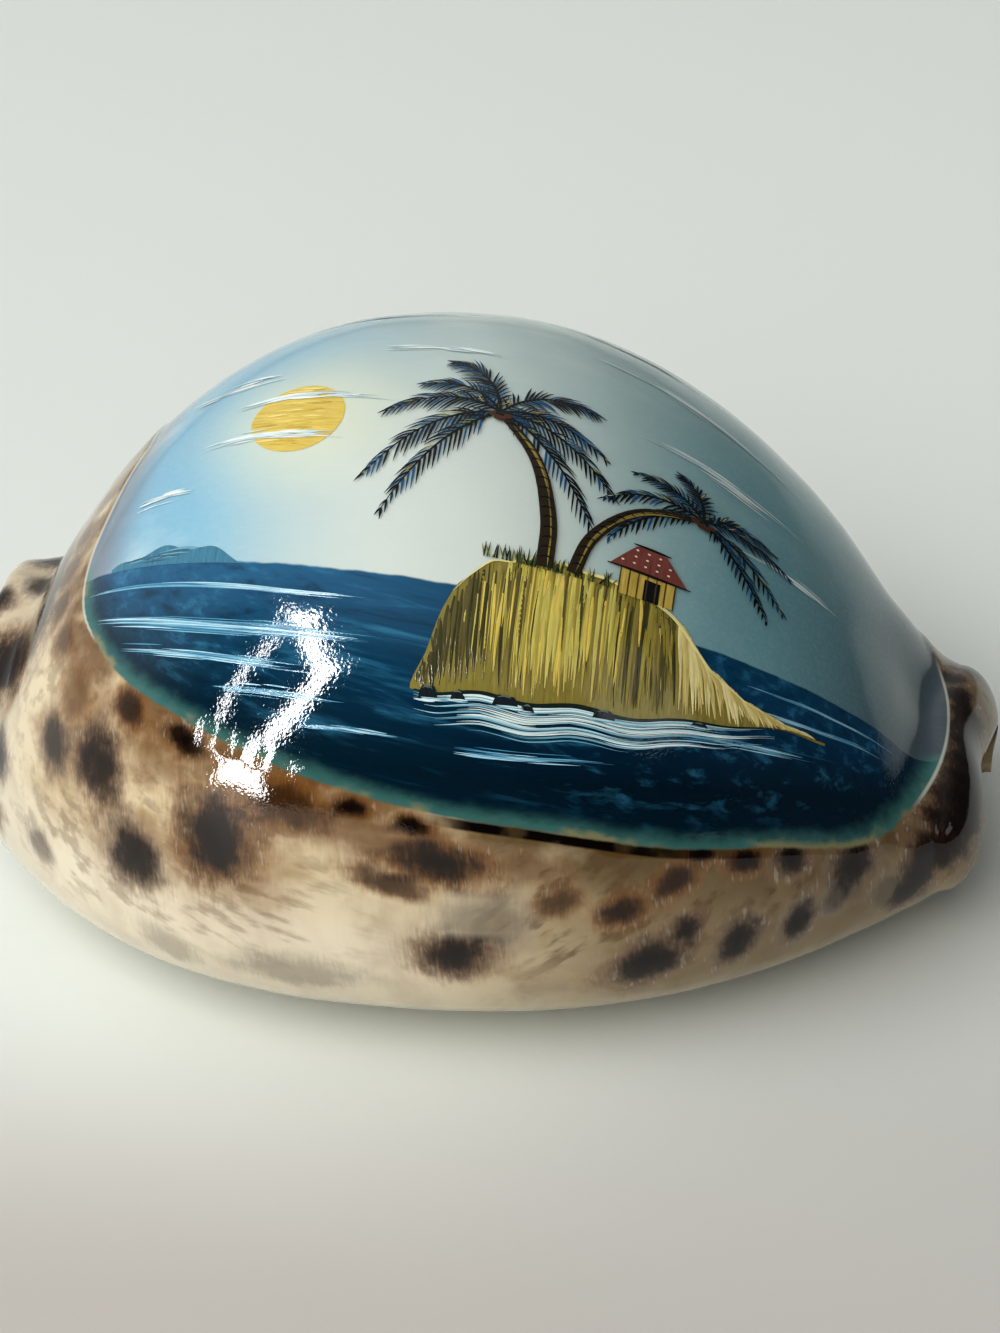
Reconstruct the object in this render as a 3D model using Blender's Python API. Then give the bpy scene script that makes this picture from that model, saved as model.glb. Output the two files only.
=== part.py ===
import bpy
import bmesh
import numpy as np

# Tiger cowrie lying on its aperture. Front (anterior) end towards +X, outer lip
# towards -Y, back of the shell up. Sizes in metres.
MM = 0.001
LENGTH = 88 * MM
WIDTH = 66 * MM
HEIGHT = 46 * MM
MARGIN_Z = 12.8 * MM      # height of the widest line round the shell
MARGIN_DROP = 3 * MM      # how far that line sinks by the two ends
DOME_TOP = -0.056         # where along the half length the dome is highest
DOME_REACH = (0.95, 0.925)           # where the dome runs out, rear and front
ARCH, ARCH_END = (2.4, 1.9), 1.23    # powers of the dome's long profile
NEAR_SIDE = (2.4, 2.55)   # powers of the outer lip's outline, rear and front
FAR_SIDE = (2.1, 1.9)     # powers of the other side's outline
BACK_POWER, BASE_POWER = 2.1, 2.4    # how square the section is, above and below
BEAK_HALF = (9.8 * MM, 8.9 * MM)     # half width of the rear and front beaks
BEAK_TOP = (22.6 * MM, 14.2 * MM)    # height of the rear and front beaks
BEAK_SIDE = (1 * MM, 0.3 * MM)       # how far each beak stands off to the far side
BEAK_BLEND = 1.4 * MM
RIM = 3.4 * MM            # length of the rounding over each end, down to the canal
CANAL_DENT = 0.9 * MM     # the end stands back over the canal
CANAL_HALF = 4.5 * MM     # half width of that dent
BASE_RISE = 5 * MM        # the base lifts off the ground by this at the ends
BASE_SINK = 1 * MM        # what lies below the ground at mid length is cut off flat
BACK_WALL = 2.1 * MM      # wall over the back, at mid length
END_WALL = (11 * MM, 5 * MM)         # the same over the rear and front canals
SIDE_WALL = (3.2 * MM, 5.5 * MM)     # wall at the sides, middle and ends
CAVITY_SAG = 0.55         # how far the widest part of the cavity lies below its middle
LIP_RADIUS = (3.2 * MM, 2.7 * MM)    # middle and ends
SLIT_HALF = (3 * MM, 3.8 * MM)       # half the gap between lips, middle and front
SLIT_Y = -3 * MM          # the slit's middle, half way along
SLIT_BEND = (5.5 * MM, 3.5 * MM)     # how far it bends back by the rear and front
TEETH = 23                # on each lip
TOOTH = 0.75 * MM
TOOTH_FADE = 0.06         # share of the half length where the teeth die out

STATIONS_PER_TOOTH = 4
RIM_STEPS = 4
LIP_STEPS, BASE_STEPS, BACK_STEPS = 2, 4, 11


def ease(x):
    x = np.clip(x, 0, 1)
    return x * x * (3 - 2 * x)


def blend_max(a, b, k):
    h = np.clip(0.5 + 0.5 * (a - b) / k, 0, 1)
    return b + (a - b) * h + k * h * (1 - h)


def rounded(c, n):
    return np.sign(c) * np.abs(c) ** (2 / n)


def stations():
    # places along the half length, and how far round the end rim each one is
    inner = 1 - RIM / (LENGTH / 2)
    body = np.linspace(-inner, inner, TEETH * STATIONS_PER_TOOTH + 1)
    turn = np.linspace(0, np.pi / 2, RIM_STEPS + 1)[1:]
    s = np.concatenate([np.full(RIM_STEPS, -inner), body, np.full(RIM_STEPS, inner)])
    rim = np.concatenate([-np.sin(turn[::-1]), np.zeros(len(body)), np.sin(turn)])
    return s[:, None], rim[:, None]


def rear_to_front(s, pair):
    return pair[0] + (pair[1] - pair[0]) * (s + 1) / 2


def dome(s):
    # height of the back, and of the widest line, at each station
    reach = np.where(s < DOME_TOP, DOME_REACH[0] + DOME_TOP, DOME_REACH[1] - DOME_TOP)
    along = np.clip(np.abs(s - DOME_TOP) / reach, 0, 1)
    arch = (1 - along ** rear_to_front(s, ARCH)) ** (1 / ARCH_END)
    margin = MARGIN_Z - MARGIN_DROP * s ** 2
    high = margin + (HEIGHT - MARGIN_Z) * arch
    return blend_max(high, rear_to_front(s, BEAK_TOP), BEAK_BLEND), margin


def widths(s):
    # half widths on the outer lip's side and on the far side
    beak = rear_to_front(s, BEAK_HALF)
    near = beak + (WIDTH / 2 - beak) * (1 - np.abs(s) ** rear_to_front(s, NEAR_SIDE))
    along = np.clip(np.abs(s - DOME_TOP) / (DOME_REACH[1] + DOME_TOP), 0, 1)
    oval = WIDTH / 2 * (1 - along ** FAR_SIDE[0]) ** (1 / FAR_SIDE[1])
    return near, 0.5 * (near + blend_max(oval, beak, 2 * BEAK_BLEND))


def teeth(s, shift):
    end = 1 - RIM / (LENGTH / 2)
    phase = (s / end + 1) / 2 * TEETH + shift
    fade = ease((end - np.abs(s)) / TOOTH_FADE)
    return TOOTH * fade * (0.5 - 0.5 * np.cos(2 * np.pi * phase))


def lip(middle, side, base, radius, ridge, turn):
    # turn runs from -90 degrees at the lip's foot to +90 at its top inside
    reach = radius + ridge * np.sqrt(np.abs(np.cos(turn)))
    return middle - side * reach * np.cos(turn), base + radius + reach * np.sin(turn)


def joined(pieces):
    return [np.concatenate([piece[i] for piece in pieces], axis=1) for i in (0, 1)]


def section(s):
    # y and z of the wall's outer and inner halves at each station, paired point by
    # point, both running from the outer lip round to the inner lip
    high, margin = dome(s)
    wide_near, wide_far = widths(s)
    rear = s < 0
    ends = ease((np.abs(s) - 0.5) / 0.45)
    base = BASE_RISE * s ** 2 - BASE_SINK
    slot = SLIT_Y + np.where(rear, *SLIT_BEND) * s ** 2
    middle = np.where(rear, *BEAK_SIDE) * s ** 4
    gap = SLIT_HALF[0] + (SLIT_HALF[1] - SLIT_HALF[0]) * ease(s)
    radius = LIP_RADIUS[0] + (LIP_RADIUS[1] - LIP_RADIUS[0]) * ends
    near, far = slot - gap - radius, slot + gap + radius
    near_ridge, far_ridge = teeth(s, 0), teeth(s, 0.5)
    quarter = np.linspace(0, np.pi / 2, LIP_STEPS + 1) + 0 * s
    down = np.linspace(0, np.pi / 2, BASE_STEPS + 1)[1:]
    up = np.linspace(np.pi / 2, 0, BASE_STEPS + 1)[1:]
    over = np.linspace(0, np.pi, BACK_STEPS + 1)[1:]

    wide = 0.5 * (wide_near + wide_far) + 0.5 * (wide_near - wide_far) * np.cos(over)
    outer = joined([
        lip(near, -1, base, radius, near_ridge, -quarter),
        (near - (wide_near - middle + near) * rounded(np.cos(up), BASE_POWER),
         margin - (margin - base) * rounded(np.sin(up), BASE_POWER)),
        (middle - wide * rounded(np.cos(over), BACK_POWER),
         margin + (high - margin) * rounded(np.sin(over), BACK_POWER)),
        (far + (wide_far + middle - far) * rounded(np.cos(down), BASE_POWER),
         margin - (margin - base) * rounded(np.sin(down), BASE_POWER)),
        lip(far, 1, base, radius, far_ridge, -quarter[:, ::-1][:, 1:])])

    # the cavity is an oval, open below between the tops of the two lips
    room = wide_far - SIDE_WALL[0] - (SIDE_WALL[1] - SIDE_WALL[0]) * ends
    room = np.maximum(room, (gap + radius) * 1.02)
    roof = high - BACK_WALL - (rear_to_front(s, END_WALL) - BACK_WALL) * ends
    floor = base + 2 * radius
    start = np.arcsin((gap + radius) / room)
    steps = 2 * BASE_STEPS + BACK_STEPS
    swing = start + (2 * np.pi - 2 * start) * np.linspace(0, 1, steps + 1)[1:]
    drop = (np.cos(swing) + 1) / (np.cos(start) + 1)
    inner = joined([
        lip(near, -1, base, radius, near_ridge, quarter),
        (middle + (slot - middle) * drop ** 2 - room * np.sin(swing),
         roof - (roof - floor) * drop * (1 + CAVITY_SAG * (1 - drop))),
        lip(far, 1, base, radius, far_ridge, quarter[:, ::-1][:, 1:])])
    return outer, inner


def shell_points():
    s, rim = stations()
    (outer_y, outer_z), (inner_y, inner_z) = section(s)
    # the outer face rolls over each end until it meets the inner one
    share = np.sqrt(np.clip(1 - rim ** 2, 0, 1))
    rings = []
    for out, inn in ((outer_y, inner_y), (outer_z, inner_z)):
        rolled = out * share + inn * (1 - share)
        back = inn + 0 * share
        rings.append(np.concatenate([rolled, back[:, ::-1][:, 1:]], axis=1))
    y, z = rings[0], np.maximum(rings[1], 0)
    dent = CANAL_DENT * ease((np.abs(s) - 0.75) / 0.2) * np.exp(-(y / CANAL_HALF) ** 2)
    x = s * LENGTH / 2 + rim * RIM - np.sign(s) * dent
    return np.stack([x, y, z], axis=-1)


def build_shell(name, material, collection):
    points = shell_points()
    rows, columns = points.shape[:2]
    bm = bmesh.new()
    bmesh.ops.create_grid(bm, x_segments=columns - 1, y_segments=rows - 1, size=1)
    bm.verts.ensure_lookup_table()
    for vert, place in zip(bm.verts, points.reshape(-1, 3)):
        vert.co = place
    # the ring closes on itself, and the two faces of the wall meet at each rim
    bmesh.ops.remove_doubles(bm, verts=bm.verts, dist=0.00001)
    bmesh.ops.recalc_face_normals(bm, faces=bm.faces)
    mesh = bpy.data.meshes.new(name)
    bm.to_mesh(mesh)
    bm.free()
    for face in mesh.polygons:
        face.use_smooth = True
    mesh.materials.append(material)
    shell = bpy.data.objects.new(name, mesh)
    collection.objects.link(shell)
    return shell


def enamel():
    material = bpy.data.materials.new("shell_enamel")
    material.use_nodes = True
    surface = material.node_tree.nodes["Principled BSDF"]
    surface.inputs["Base Color"].default_value = (0.62, 0.52, 0.40, 1)
    surface.inputs["Roughness"].default_value = 0.15
    surface.inputs["Metallic"].default_value = 0
    return material


for old in list(bpy.data.objects):
    bpy.data.objects.remove(old)
cowrie = bpy.data.collections.new("tiger_cowrie")
bpy.context.scene.collection.children.link(cowrie)
build_shell("cowrie_shell", enamel(), cowrie)
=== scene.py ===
import math
from functools import partial
import bpy
import numpy as np
from mathutils import Matrix, Vector


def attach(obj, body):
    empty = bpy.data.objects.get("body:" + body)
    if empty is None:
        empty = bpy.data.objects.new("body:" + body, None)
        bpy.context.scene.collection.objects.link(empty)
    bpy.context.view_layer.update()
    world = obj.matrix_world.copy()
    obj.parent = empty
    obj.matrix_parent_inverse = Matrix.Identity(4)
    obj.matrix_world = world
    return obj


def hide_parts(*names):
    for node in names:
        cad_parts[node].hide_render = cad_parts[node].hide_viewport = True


# A tiger cowrie on a pale table, its back ground smooth and painted with a small seaside picture.
# Lengths in the dictionaries are in millimetres and angles in degrees, unless a note says otherwise.

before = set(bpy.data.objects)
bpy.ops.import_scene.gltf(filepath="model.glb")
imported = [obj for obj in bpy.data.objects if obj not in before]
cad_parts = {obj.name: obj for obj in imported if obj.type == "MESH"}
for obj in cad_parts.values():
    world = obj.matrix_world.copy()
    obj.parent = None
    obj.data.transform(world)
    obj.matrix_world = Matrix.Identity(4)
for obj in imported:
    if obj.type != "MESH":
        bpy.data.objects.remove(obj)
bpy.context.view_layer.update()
scene = bpy.context.scene
mm = 0.001

# settings that many nodes share
times, plus, minus = {"operation": "MULTIPLY"}, {"operation": "ADD"}, {"operation": "SUBTRACT"}
smooth = {"interpolation_type": "SMOOTHSTEP"}
inColour = {"data_type": "RGBA"}


def linear(hexColour):
    channels = [int(hexColour[i:i + 2], 16) / 255 for i in (1, 3, 5)]
    return (*(c / 12.92 if c <= 0.04045 else ((c + 0.055) / 1.055) ** 2.4 for c in channels), 1.0)


def addNode(tree, kind, *values, out=0, stops=None, named=None, **settings):
    # one node: its settings, its ramp's stops, then a value or a link for its inputs, in order or by name
    made = tree.nodes.new("ShaderNode" + kind)
    for name, value in settings.items():
        setattr(made, name, value)
    if stops:
        ramp = made.color_ramp.elements
        ramp.remove(ramp[1])
        ramp[0].color = linear(stops[0][1])
        for place, colour in stops[1:]:
            ramp.new(place).color = linear(colour)
    sockets = [socket for socket in made.inputs if socket.enabled]
    inputs = list(zip(sockets, values))
    inputs += [(made.inputs[name], value) for name, value in (named or {}).items()]
    for socket, value in inputs:
        if isinstance(value, bpy.types.NodeSocket):
            tree.links.new(value, socket)
        else:
            socket.default_value = linear(value) if isinstance(value, str) else value
    results = [socket for socket in made.outputs if socket.enabled]
    return results[out] if results else made


def emptyMaterial(name):
    material = bpy.data.materials.new(name)
    material.use_nodes = True
    material.node_tree.nodes.clear()
    return material, partial(addNode, material.node_tree)


def newMesh(name, points, quads):
    mesh = bpy.data.meshes.new(name)
    mesh.vertices.add(len(points))
    mesh.vertices.foreach_set("co", (np.asarray(points) * mm).ravel())
    mesh.loops.add(quads.size)
    mesh.loops.foreach_set("vertex_index", quads.ravel())
    mesh.polygons.add(len(quads))
    mesh.polygons.foreach_set("loop_start", np.arange(0, quads.size, 4))
    mesh.polygons.foreach_set("use_smooth", np.ones(len(quads), bool))
    mesh.update(calc_edges=True)
    mesh.validate()
    piece = bpy.data.objects.new(name, mesh)
    scene.collection.objects.link(piece)
    print(name, len(points), "points,", 2 * len(quads), "triangles")
    return piece


# The shell has the form of the CAD solid, only finer: front end towards +X, outer lip towards -Y.
# What the values mean: beaks are the two ends, the margin is the widest line round the shell, reaches
# and places are shares of the half length, and pairs go from the middle to the ends or rear to front.
form = {
    "length": 88, "width": 66, "height": 46,
    "marginHeight": 12.8, "marginDrop": 3,
    "domeTop": -0.056, "domeReach": (0.95, 0.925),
    "arch": (2.4, 1.9), "archEnd": 1.23,
    "nearSide": (2.4, 2.55), "farSide": (2.1, 1.9),
    "backPower": 2.1, "basePower": 2.4,
    "beakHalf": (9.8, 8.9), "beakTop": (23.8, 14.2), "beakSide": (1, 0.3),
    "beakBlend": 1.4, "domeBlend": 2.6,
    "rim": 3.4, "canalDent": 0.9, "canalHalf": 4.5,
    "baseRise": 5, "baseSink": 1,
    "backWall": 2.1, "endWall": (11, 5), "sideWall": (3.2, 5.5), "cavitySag": 0.55,
    "lipRadius": (3.2, 2.7), "slitHalf": (3, 3.8), "slitY": -3, "slitBend": (5.5, 3.5),
    "teeth": 23, "tooth": 0.75, "toothFade": 0.06,
}
fineness = {"stations": 278, "rimSteps": 14, "lip": 5, "base": 20, "back": 108}


def ease(x):
    x = np.clip(x, 0, 1)
    return x * x * (3 - 2 * x)


def blendMax(a, b, k):
    h = np.clip(0.5 + 0.5 * (a - b) / k, 0, 1)
    return b + (a - b) * h + k * h * (1 - h)


def rounded(c, n):
    return np.sign(c) * np.abs(c) ** (2 / n)


def rearToFront(s, pair):
    return pair[0] + (pair[1] - pair[0]) * (s + 1) / 2


def dome(s):
    top = form["domeTop"]
    reach = np.where(s < top, form["domeReach"][0] + top, form["domeReach"][1] - top)
    along = np.clip(np.abs(s - top) / reach, 0, 1)
    arch = (1 - along ** rearToFront(s, form["arch"])) ** (1 / form["archEnd"])
    margin = form["marginHeight"] - form["marginDrop"] * s ** 2
    high = margin + (form["height"] - form["marginHeight"]) * arch
    return blendMax(high, rearToFront(s, form["beakTop"]), form["domeBlend"]), margin


def halfWidths(s):
    half = form["width"] / 2
    beak = rearToFront(s, form["beakHalf"])
    near = beak + (half - beak) * (1 - np.abs(s) ** rearToFront(s, form["nearSide"]))
    along = np.clip(np.abs(s - form["domeTop"]) / (form["domeReach"][1] + form["domeTop"]), 0, 1)
    oval = half * (1 - along ** form["farSide"][0]) ** (1 / form["farSide"][1])
    return near, 0.5 * (near + blendMax(oval, beak, 2 * form["beakBlend"]))


def backCurve(s, turn):
    # y and z over the back, from the near margin (turn 0) to the far one (turn pi)
    high, margin = dome(s)
    near, far = halfWidths(s)
    middle = np.where(s < 0, *form["beakSide"]) * s ** 4
    wide = 0.5 * (near + far) + 0.5 * (near - far) * np.cos(turn)
    return (middle - wide * rounded(np.cos(turn), form["backPower"]),
            margin + (high - margin) * rounded(np.sin(turn), form["backPower"]))


def lengthways(s, rim, y):
    # x, with each end standing back over its canal
    dent = form["canalDent"] * ease((np.abs(s) - 0.75) / 0.2) * np.exp(-(y / form["canalHalf"]) ** 2)
    return s * form["length"] / 2 + rim * form["rim"] - np.sign(s) * dent


def teethAt(s, shift):
    end = 1 - form["rim"] / (form["length"] / 2)
    phase = (s / end + 1) / 2 * form["teeth"] + shift
    fade = ease((end - np.abs(s)) / form["toothFade"])
    return form["tooth"] * fade * (0.5 - 0.5 * np.cos(2 * np.pi * phase))


def lipCurve(middle, side, base, radius, ridge, turn):
    reach = radius + ridge * np.sqrt(np.abs(np.cos(turn)))
    return middle - side * reach * np.cos(turn), base + radius + reach * np.sin(turn)


def shellGrid():
    # points (stations x ring x 3), the number of outer columns, and the back turn of each column
    inner = 1 - form["rim"] / (form["length"] / 2)
    body = np.linspace(-inner, inner, fineness["stations"])
    turn = np.linspace(0, np.pi / 2, fineness["rimSteps"] + 1)[1:]
    s = np.concatenate([np.full(len(turn), -inner), body, np.full(len(turn), inner)])[:, None]
    rim = np.concatenate([-np.sin(turn[::-1]), 0 * body, np.sin(turn)])[:, None]
    high, margin = dome(s)
    wideNear, wideFar = halfWidths(s)
    rear = s < 0
    ends = ease((np.abs(s) - 0.5) / 0.45)
    base = form["baseRise"] * s ** 2 - form["baseSink"]
    slot = form["slitY"] + np.where(rear, *form["slitBend"]) * s ** 2
    middle = np.where(rear, *form["beakSide"]) * s ** 4
    gap = form["slitHalf"][0] + (form["slitHalf"][1] - form["slitHalf"][0]) * ease(s)
    radius = form["lipRadius"][0] + (form["lipRadius"][1] - form["lipRadius"][0]) * ends
    near, far = slot - gap - radius, slot + gap + radius
    nearRidge, farRidge = teethAt(s, 0), teethAt(s, 0.5)
    quarter = np.linspace(0, np.pi / 2, fineness["lip"] + 1) + 0 * s
    down = np.linspace(0, np.pi / 2, fineness["base"] + 1)[1:]
    up = np.linspace(np.pi / 2, 0, fineness["base"] + 1)[1:]
    over = np.linspace(0, np.pi, fineness["back"] + 1)[1:]
    power = form["basePower"]
    outer = [
        lipCurve(near, -1, base, radius, nearRidge, -quarter),
        (near - (wideNear - middle + near) * rounded(np.cos(up), power),
         margin - (margin - base) * rounded(np.sin(up), power)),
        backCurve(s, over),
        (far + (wideFar + middle - far) * rounded(np.cos(down), power),
         margin - (margin - base) * rounded(np.sin(down), power)),
        lipCurve(far, 1, base, radius, farRidge, -quarter[:, ::-1][:, 1:])]
    # the cavity is an oval, open below between the tops of the two lips
    room = wideFar - form["sideWall"][0] - (form["sideWall"][1] - form["sideWall"][0]) * ends
    room = np.maximum(room, (gap + radius) * 1.02)
    roof = high - form["backWall"] - (rearToFront(s, form["endWall"]) - form["backWall"]) * ends
    floor = base + 2 * radius
    start = np.arcsin((gap + radius) / room)
    steps = 2 * fineness["base"] + fineness["back"]
    swing = start + (2 * np.pi - 2 * start) * np.linspace(0, 1, steps + 1)[1:]
    drop = (np.cos(swing) + 1) / (np.cos(start) + 1)
    inside = [
        lipCurve(near, -1, base, radius, nearRidge, quarter),
        (middle + (slot - middle) * drop ** 2 - room * np.sin(swing),
         roof - (roof - floor) * drop * (1 + form["cavitySag"] * (1 - drop))),
        lipCurve(far, 1, base, radius, farRidge, quarter[:, ::-1][:, 1:])]
    # the outer face rolls over each end until it meets the inner one
    share = np.sqrt(np.clip(1 - rim ** 2, 0, 1))
    rings = []
    for axis in (0, 1):
        out = np.concatenate([piece[axis] + 0 * s for piece in outer], axis=1)
        inn = np.concatenate([piece[axis] for piece in inside], axis=1)
        rings.append(np.concatenate([out * share + inn * (1 - share), inn[:, ::-1][:, 1:-1]], axis=1))
    y, z = rings[0], np.maximum(rings[1], 0)
    points = np.stack([lengthways(s, rim, y), y, z], axis=-1)
    first = fineness["lip"] + fineness["base"]
    outerColumns = 2 * first + fineness["back"] + 1
    backTurn = np.full(points.shape[1], -90.0)
    backTurn[:outerColumns] = (np.arange(outerColumns) - first) * 180 / fineness["back"]
    return points, outerColumns, backTurn


# The back was ground down by hand across one oblique plane and then painted. Inside the oval is positive.
# Bumps (place along x, width, depth) are where the hand-held grinding strays from the plane.
oval = {"plane": (0.257, 0.056, 0.965), "cut": 23.0,
        "bumps": [(14, 8, 0.7), (36, 5, -1.4), (-21, 4, -0.5)], "rear": -24.9, "rearSpread": 0.15,
        "front": 40.7, "frontMiddle": -4, "frontCurve": 0.015, "corner": 2.6, "step": 0.2,
        "stepWidth": 0.6}


def insideOval(points):
    x, y = points[..., 0], points[..., 1]
    across = points @ np.array(oval["plane"]) - oval["cut"]
    for place, width, depth in oval["bumps"]:
        across = across - depth * np.exp(-((x - place) / width) ** 2)
    rear = x - oval["rear"] + oval["rearSpread"] * np.abs(y)
    front = oval["front"] - oval["frontCurve"] * (y - oval["frontMiddle"]) ** 2 - x
    return -blendMax(-across, blendMax(-rear, -front, oval["corner"]), oval["corner"])


def relief(points):
    # how far the surface stands in from the smooth form: the ground step, and faint waves left by polishing
    x, y, z = np.moveaxis(points, -1, 0)
    waves = (np.sin(0.41 * x + 0.23 * y + 1.1) * np.sin(0.37 * z - 0.19 * x + 0.4)
             + 0.6 * np.sin(0.83 * x - 0.31 * z + 2.0) * np.sin(0.71 * y + 0.45 * z))
    return -oval["step"] * ease(insideOval(points) / oval["stepWidth"] + 0.5) + 0.03 * waves


def drape(u, turn, lift):
    # places points on the painted back: u along the shell, turn in degrees from the near margin
    def at(du, dt):
        s = (u + du) / (form["length"] / 2)
        y, z = backCurve(s, np.radians(turn + dt))
        return np.stack([lengthways(s, 0, y), y, z], axis=-1)
    here = at(0, 0)
    normal = np.cross(at(0.05, 0) - at(-0.05, 0), at(0, 0.1) - at(0, -0.1))
    normal /= np.linalg.norm(normal, axis=-1, keepdims=True)
    return here + normal * (relief(here) + lift)[..., None]


# The natural spots on the near side: x, height, half length, half height, slant, then darkness and warmth
# as shares (warmth 1 is brown, 0 blue-grey).
nearSpots = [
    (-36.0, 17.0, 1.7, 2.2, 0, 0.8, 0.4), (-27.7, 22.9, 1.9, 2.4, 0, 0.72, 0.6),
    (-22.7, 24.0, 2.5, 3.4, 5, 1.0, 0.7), (-25.4, 27.0, 1.9, 2.2, 30, 0.5, 1.0),
    (-19.5, 28.7, 2.2, 1.3, -30, 0.72, 1.0), (-19.9, 17.6, 2.6, 2.9, 0, 0.82, 0.5),
    (-11.8, 21.6, 3.3, 3.9, -10, 1.0, 0.9), (-18.0, 10.0, 2.6, 1.5, -15, 0.4, 0.1),
    (-6.9, 9.4, 4.6, 1.4, 0, 0.42, 0.05), (-14.2, 28.2, 2.9, 1.1, -22, 0.95, 0.8),
    (-17.6, 25.6, 2.4, 1.4, -20, 0.4, 1.0), (-6.0, 24.2, 4.2, 1.7, -16, 0.66, 1.0),
    (0.6, 22.9, 2.6, 1.1, -14, 0.4, 1.0), (-0.7, 25.1, 2.0, 0.8, -14, 0.9, 0.9),
    (3.9, 24.1, 1.8, 0.7, -10, 0.9, 0.9), (5.4, 21.0, 4.2, 1.7, -12, 0.85, 1.0),
    (1.6, 19.4, 3.0, 0.9, -18, 0.66, 1.0), (6.5, 12.4, 3.0, 2.0, 8, 0.97, 0.7),
    (8.6, 15.6, 3.0, 1.9, 0, 0.42, 0.0), (14.6, 16.8, 2.0, 1.1, 10, 0.62, 1.0),
    (18.9, 15.6, 2.0, 1.2, 15, 0.75, 1.0), (22.6, 17.0, 3.4, 1.2, 22, 0.72, 0.95),
    (20.8, 11.4, 3.9, 2.0, 20, 0.97, 0.6), (23.4, 12.6, 1.8, 1.2, 45, 0.85, 0.6),
    (26.8, 10.6, 2.4, 1.7, 40, 0.95, 0.5), (31.0, 10.2, 2.1, 1.4, 45, 0.88, 0.4),
    (33.5, 10.6, 1.6, 1.0, 45, 0.6, 0.2), (27.2, 16.9, 2.4, 1.1, 0, 0.85, 0.9),
    (30.6, 15.6, 2.8, 1.3, 5, 0.97, 0.6), (34.6, 12.9, 2.4, 2.2, 50, 0.95, 0.5),
    (24.4, 18.5, 2.4, 0.7, -8, 0.85, 0.9), (12.6, 19.6, 2.4, 1.0, -6, 0.45, 1.0),
    (37.2, 9.3, 1.4, 1.5, 45, 0.5, 0.3), (-8.4, 17.2, 2.0, 1.0, 0, 0.3, 1.0),
    (-30.6, 13.6, 1.7, 1.4, 0, 0.55, 0.4), (12.2, 8.2, 1.8, 0.9, 0, 0.3, 0.2),
]
# Dark bands as runs of touching spots, each x, y, z, radius: round the front end and up the rear end.
bands = [
    {"dark": 1.0, "warm": 0.6, "run": [
        (40.2, 5.3, 14.2, 1.3), (41.0, 2.8, 14.1, 1.7), (41.9, 0.9, 13.3, 2.3),
        (42.3, -1.6, 13.0, 2.8), (42.4, -3.6, 12.9, 3.0), (42.4, -5.4, 12.8, 3.1),
        (42.3, -7.5, 12.6, 3.1), (42.2, -9.3, 12.3, 3.1), (41.4, -12.0, 11.4, 3.0),
        (40.3, -13.5, 10.2, 2.8), (39.3, -14.7, 9.0, 2.4), (38.5, -15.4, 8.0, 2.0)]},
    {"dark": 1.0, "warm": 0.75, "run": [
        (-33.0, -3.4, 30.4, 2.0), (-33.2, -6.2, 29.8, 2.9), (-33.4, -8.6, 29.0, 3.5),
        (-33.8, -10.0, 27.6, 3.9), (-34.8, -10.4, 26.0, 4.0), (-35.8, -10.0, 24.2, 3.9),
        (-37.0, -9.4, 22.0, 3.6), (-38.2, -8.6, 19.8, 3.0)]},
    {"dark": 0.6, "warm": 1.0, "run": [
        (-28.0, -3.0, 33.6, 1.2), (-28.6, -6.6, 32.3, 1.5), (-29.2, -9.8, 30.9, 1.7),
        (-28.8, -13.2, 29.8, 1.6), (-27.4, -16.6, 29.0, 1.5)]},
]
otherSpots = {"seed": 5, "tries": 7600, "radius": (1.3, 3.4), "spacing": 1.0}


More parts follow.
